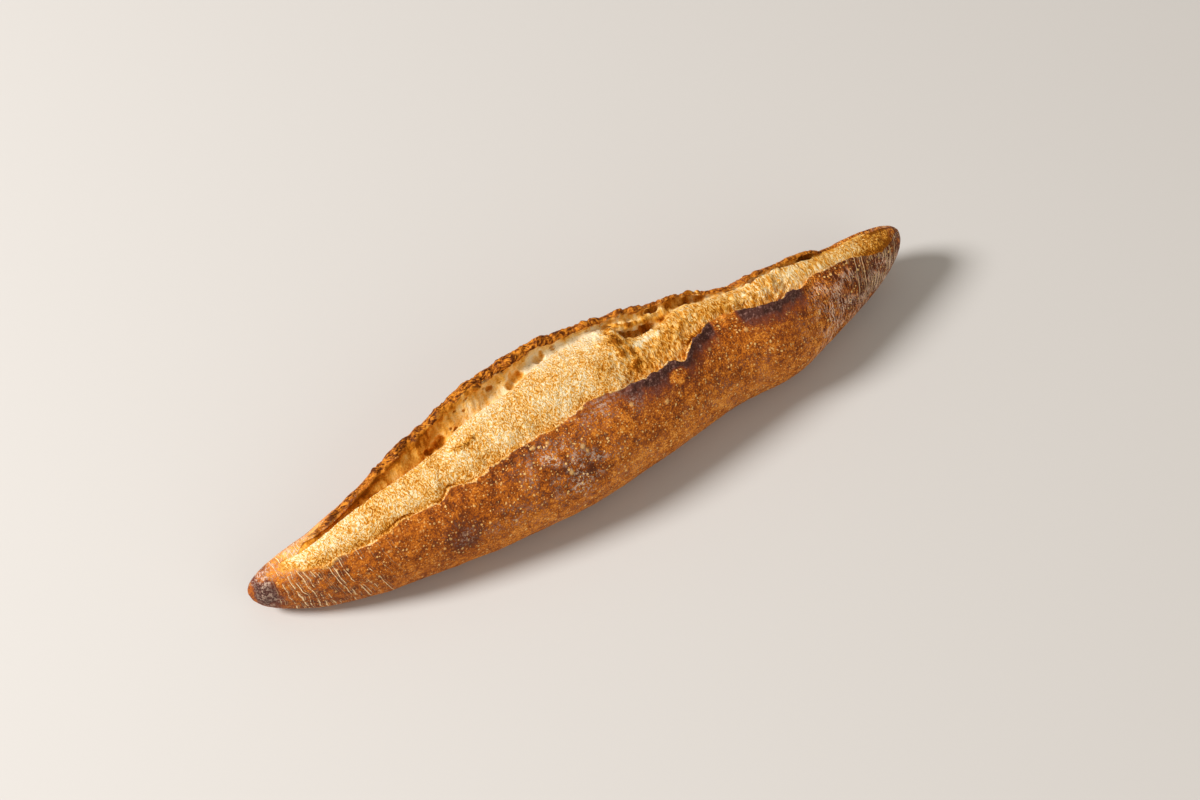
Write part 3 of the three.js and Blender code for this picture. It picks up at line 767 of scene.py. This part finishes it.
def blend(factor, first, second):
    """The first colour, covered by the second one where the factor is 1."""
    node = add("ShaderNodeMix", data_type="RGBA", clamp_factor=True)
    links.new(factor, node.inputs["Factor"])
    links.new(first, node.inputs[6])
    if isinstance(second, tuple):
        node.inputs[7].default_value = tint(*second)
    else:
        links.new(second, node.inputs[7])
    return node.outputs[2]


loaf_place = add("ShaderNodeTexCoord").outputs["Object"]
chart_place = add("ShaderNodeAttribute", attribute_name="chart").outputs["Vector"]
stir = add("ShaderNodeTexNoise", noise_dimensions="2D")
stir.inputs["Scale"].default_value = 1 / CURL_SPACING
links.new(chart_place, stir.inputs["Vector"])
stirred = add("ShaderNodeVectorMath", operation="MULTIPLY_ADD")
stirred.inputs[1].default_value = (CURL_REACH, CURL_REACH, 0.0)
links.new(stir.outputs["Color"], stirred.inputs[0])
links.new(chart_place, stirred.inputs[2])
curled_place = stirred.outputs["Vector"]
speckle = grain(0.95, 2, 0.75)
past_left = above(field("along"), 0.15, 0.4)
right_side = above(field("along"), 0.74, 0.86)

comb = strokes(0.62, 7.0)
crust_tone = vary(field("bake"), speckle, plus(times(past_left, 0.6), 1.1))
crust_tone = vary(vary(crust_tone, grain(3.6, 3), 1.2), comb, times(right_side, -1.8))
crust_colour = ramp(crust_tone, CRUST_TONES)
crust_colour = blend(times(dots(1.3, 0.35, 0.32), 0.85), crust_colour, FLECK)
round_spots = larger(dots(2.1, 0.32, 0.30), dots(4.2, 0.5, 0.19))
spotted = less(vary(0.95, grain(8.0, 2), 2.4), less(0.5, times(past_left, 0.5)))
freckles = times(round_spots, spotted, clamp=True)
crust_colour = blend(larger(freckles, field("pale")), crust_colour, BLISTER)
char_tone = vary(field("char"), speckle, 0.8)
burnt = above(char_tone, 0.35, 0.95)
# Painted highlights: pale grey glints scattered over the rough burnt crust.
burnt_glints = times(burnt, above(grain(1.3, 2, 0.7), 0.52, 0.68), clamp=True)
crust_colour = blend(times(char_tone, 1.8, clamp=True), crust_colour, SCORCHED)
crust_colour = blend(burnt, crust_colour, BURNT)
crust_colour = blend(burnt_glints, crust_colour, BURNT_GLINT)
pores = vary(vary(strokes(3.0, 0.8), grain(1.5, 3, 0.7), 0.9), grain(6.0, 1), 0.5)
pores = plus(pores, times(less(above(field("along"), 0.28, 0.42), 1.0), 0.02))
crust_colour = blend(field("rim"), crust_colour, ramp(pores, RIM_TONES))
veil = either(right_side, vary(grain(1.8, 3, 0.7), speckle, 0.6), vary(comb, speckle, 0.7))
dust = times(field("flour"), above(veil, 0.50, 0.60), clamp=True)
crust_colour = blend(dust, crust_colour, FLOUR)
creased = larger(crease_lines(3.0, 0.34), times(crease_lines(1.2, 0.18), 0.6))
creased = times(creased, larger(above(grain(3.5, 2), 0.40, 0.52), right_side))
crust_colour = blend(creased, crust_colour, CREASE)

crumb = field("crumb")
pitted = field("pitted")
short_threads = vary(strokes(0.8, 1.5), strokes(0.5, 0.85), 0.7)
long_threads = vary(strokes(0.72, 4.6), strokes(0.5, 2.4), 0.7)
net = above(either(field("strand"), short_threads, long_threads), 0.34, 0.66)
skin_streaks = vary(strokes(3.4, 10.0), strokes(1.1, 5.0), 0.3)
# Painted light on the bloom's threads: the net colours them paler and the gaps between them a warm golden
# shade.
crumb_tone = vary(field("toast"), net, times(pitted, -0.56))
crumb_tone = vary(crumb_tone, skin_streaks, less(0.8, times(pitted, 0.8)))
crumb_tone = vary(vary(crumb_tone, speckle, 0.6), grain(4.0, 3), 0.5)
golden_left = less(0.42, times(above(field("along"), 0.27, 0.36), 0.34))
amber = times(less(crumb, pitted), golden_left, clamp=True)
amber = times(amber, less(1.0, above(crumb_tone, 0.4, 0.75)))
crumb_colour = blend(amber, ramp(crumb_tone, CRUMB_TONES), AMBER_SKIN)

links.new(blend(crumb, crust_colour, crumb_colour), shader.inputs["Base Color"])
gloss = add("ShaderNodeMapRange")
gloss.inputs["To Min"].default_value = CRUST_ROUGHNESS
gloss.inputs["To Max"].default_value = CRUMB_ROUGHNESS
links.new(larger(crumb, dust), gloss.inputs["Value"])
links.new(gloss.outputs["Result"], shader.inputs["Roughness"])
shader.inputs["Specular IOR Level"].default_value = SHEEN
fine_relief = add("ShaderNodeBump")
fine_relief.inputs["Strength"].default_value = 0.9
fine_relief.inputs["Distance"].default_value = GRAIN_HEIGHT
raised = plus(times(freckles, 0.5), times(net, times(pitted, 0.4)))
raised = plus(raised, times(creased, 0.8))
raised = plus(raised, times(comb, right_side))
links.new(plus(speckle, raised), fine_relief.inputs["Height"])
links.new(fine_relief.outputs["Normal"], shader.inputs["Normal"])
mesh.materials.append(loaf_finish)

loaf = bpy.data.objects.new("baked_loaf", mesh)
bpy.context.scene.collection.objects.link(loaf)
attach(loaf, "root")
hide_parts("loaf")

# The table: a plain pale surface of matte paint, wide enough to fill the view. The loaf lies on it with its
# flat underside and isn't fixed to it.
TABLE_REACH = 6
TABLE_COLOUR = (200, 197, 193)
table_corners = [(x * TABLE_REACH, y * TABLE_REACH, 0) for x, y in ((-1, -1), (1, -1), (1, 1), (-1, 1))]
table_mesh = bpy.data.meshes.new("table")
table_mesh.from_pydata(table_corners, [], [(0, 1, 2, 3)])
table_finish = bpy.data.materials.new("pale_table")
table_finish.use_nodes = True
table_shader = table_finish.node_tree.nodes["Principled BSDF"]
table_shader.inputs["Base Color"].default_value = tint(*TABLE_COLOUR)
table_shader.inputs["Roughness"].default_value = 0.9
table_shader.inputs["Specular IOR Level"].default_value = 0.2
table_mesh.materials.append(table_finish)
table = bpy.data.objects.new("table", table_mesh)
bpy.context.scene.collection.objects.link(table)


# The light: one large soft lamp from the left and a little behind, as a window gives, a wide dim one from
# the front, and a pale room round them.
def soft_lamp(name, shape, size, energy, colour, place):
    """A flat lamp that faces the loaf."""
    light = bpy.data.lights.new(name, "AREA")
    light.shape = shape
    light.size = size
    light.energy = energy
    light.color = colour
    lamp = bpy.data.objects.new(name, light)
    lamp.location = place
    lamp.rotation_euler = (-lamp.location).to_track_quat("-Z", "Y").to_euler()
    bpy.context.scene.collection.objects.link(lamp)


soft_lamp("window", "DISK", 1.0, 124.0, (1.0, 0.99, 0.985), (-2.15, 0.85, 1.95))
soft_lamp("reflector", "SQUARE", 2.4, 20.0, (1.0, 0.95, 0.88), (0.3, -2.5, 1.3))
room = bpy.data.worlds.new("room")
room.use_nodes = True
room.node_tree.nodes["Background"].inputs["Color"].default_value = (1.0, 0.91, 0.81, 1.0)
room.node_tree.nodes["Background"].inputs["Strength"].default_value = 0.37
bpy.context.scene.world = room
bpy.context.scene.view_settings.view_transform = "Standard"

# The camera: above and to the left of the loaf, looking down its length at an angle. The turn and the lift
# are in degrees, and the distance is in metres from the point that it aims at.
CAMERA_TURN = -32.8
CAMERA_LIFT = 55.0
CAMERA_DISTANCE = 1.236
lens = bpy.data.cameras.new("camera")
lens.lens = 70.0
lens.sensor_width = 36.0
camera = bpy.data.objects.new("camera", lens)
turn, lift = np.radians([CAMERA_TURN, CAMERA_LIFT])
aim = Vector((0.015, 0.013 - middle_y / 1000, 0.0))
back = Vector((np.sin(turn) * np.cos(lift), -np.cos(turn) * np.cos(lift), np.sin(lift)))
camera.location = aim + CAMERA_DISTANCE * back
camera.rotation_euler = (-back).to_track_quat("-Z", "Y").to_euler()
bpy.context.scene.collection.objects.link(camera)
bpy.context.scene.camera = camera
